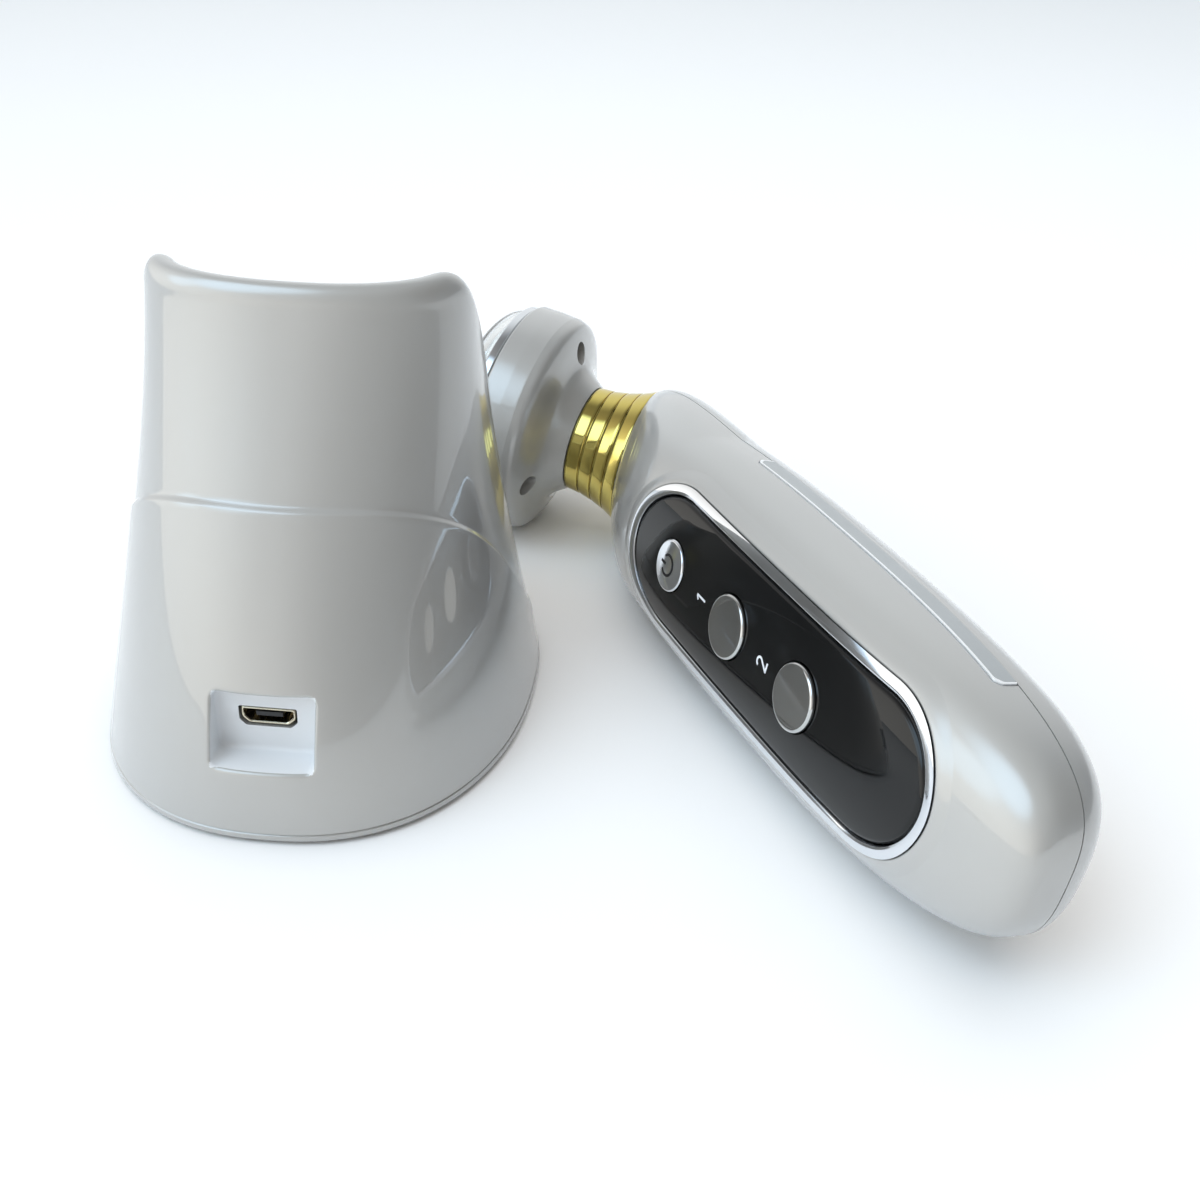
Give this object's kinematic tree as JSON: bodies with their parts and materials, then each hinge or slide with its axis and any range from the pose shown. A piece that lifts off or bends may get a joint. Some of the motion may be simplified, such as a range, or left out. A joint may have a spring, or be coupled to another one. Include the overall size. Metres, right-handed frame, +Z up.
{
  "type": "led facial massager",
  "caption": "Handheld facial massager with a tilted light disc head and round push buttons, lying beside its open charging stand.",
  "frame": {"origin": "on the table, in the middle of the underside of the stand's rubber base mat", "axes": "+Z up, +X to the right of someone facing the stand's rear wall with the charging inlet, +Y out of the stand's open front"},
  "size_m": [0.1366, 0.1372, 0.068],
  "materials": {
    "pearl": "pearl lacquer with a clear gloss coat",
    "pale_plastic": "fine satin moulding",
    "black_gloss": "deep gloss panel",
    "black_rubber": "matte",
    "black_plastic": "matte",
    "chrome": "mirror plating",
    "gold": "mirror gold plating",
    "satin_metal": "grey satin with a thin bright edge",
    "steel": "plain",
    "nickel": "thin plated shell",
    "board": "solder mask",
    "battery_wrap": "shrink wrap",
    "clear": "clear moulded dome"
  },
  "bodies": {
    "stand": {"stand_shell": "pearl", "stand_liner": "pale_plastic", "base_cover": "pearl", "base_mat": "black_rubber", "ballast_plate": "steel", "charge_board": "board", "usb_shell": "nickel", "usb_tongue": "black_plastic", "cover_screw_1": "steel", "cover_screw_2": "steel", "cover_screw_3": "steel", "cover_screw_4": "steel", "pogo_barrel_left": "gold", "pogo_barrel_right": "gold"},
    "pogo_left": {"pogo_plunger_left": "gold"},
    "pogo_right": {"pogo_plunger_right": "gold"},
    "handpiece": {"front_shell": "pearl", "rear_shell": "pearl", "panel_bezel": "chrome", "panel_lens": "black_gloss", "tact_switch_1": "black_plastic", "tact_switch_2": "black_plastic", "tact_switch_3": "black_plastic", "side_strip_left": "satin_metal", "side_strip_right": "satin_metal", "tail_contact_left": "gold", "tail_contact_right": "gold", "neck_sleeve": "gold", "head_housing": "pearl", "head_ring": "chrome", "head_lens": "clear", "head_electrode_1": "chrome", "head_electrode_2": "chrome", "head_electrode_3": "chrome", "head_electrode_4": "chrome", "led_board": "board", "head_screw_1": "steel", "head_screw_2": "steel", "head_screw_3": "steel", "body_screw_1": "steel", "body_screw_2": "steel", "main_board": "board", "battery_cell": "battery_wrap", "motor_can": "steel"},
    "power_key": {"power_button": "chrome"},
    "mode_key_1": {"mode_button_1": "chrome"},
    "mode_key_2": {"mode_button_2": "chrome"},
    "vibration_weight": {"motor_weight": "steel"}
  },
  "joints": [
    {"name": "handpiece_lift", "type": "slide", "parent": "stand", "child": "handpiece", "axis": [0, 0, 1], "range_m": [0, 0.15]},
    {"name": "power_press", "type": "slide", "parent": "handpiece", "child": "power_key", "axis": [0.8713, 0.4387, -0.22], "range_m": [0, 0.0005], "stiffness_N_per_m": 1500, "springref_m": -0.0004},
    {"name": "mode_1_press", "type": "slide", "parent": "handpiece", "child": "mode_key_1", "axis": [0.8713, 0.4387, -0.22], "range_m": [0, 0.0005], "stiffness_N_per_m": 1500, "springref_m": -0.0004},
    {"name": "mode_2_press", "type": "slide", "parent": "handpiece", "child": "mode_key_2", "axis": [0.8713, 0.4387, -0.22], "range_m": [0, 0.0005], "stiffness_N_per_m": 1500, "springref_m": -0.0004},
    {"name": "pogo_left_press", "type": "slide", "parent": "stand", "child": "pogo_left", "axis": [0, 0, -1], "range_m": [0, 0.0015], "stiffness_N_per_m": 200, "springref_m": -0.001},
    {"name": "pogo_right_press", "type": "slide", "parent": "stand", "child": "pogo_right", "axis": [0, 0, -1], "range_m": [0, 0.0015], "stiffness_N_per_m": 200, "springref_m": -0.001},
    {"name": "weight_spin", "type": "hinge", "parent": "handpiece", "child": "vibration_weight", "pos_m": [0.05208, 0.04093, 0.01666], "axis": [-0.4527, 0.8915, -0.015], "continuous": true}
  ]
}
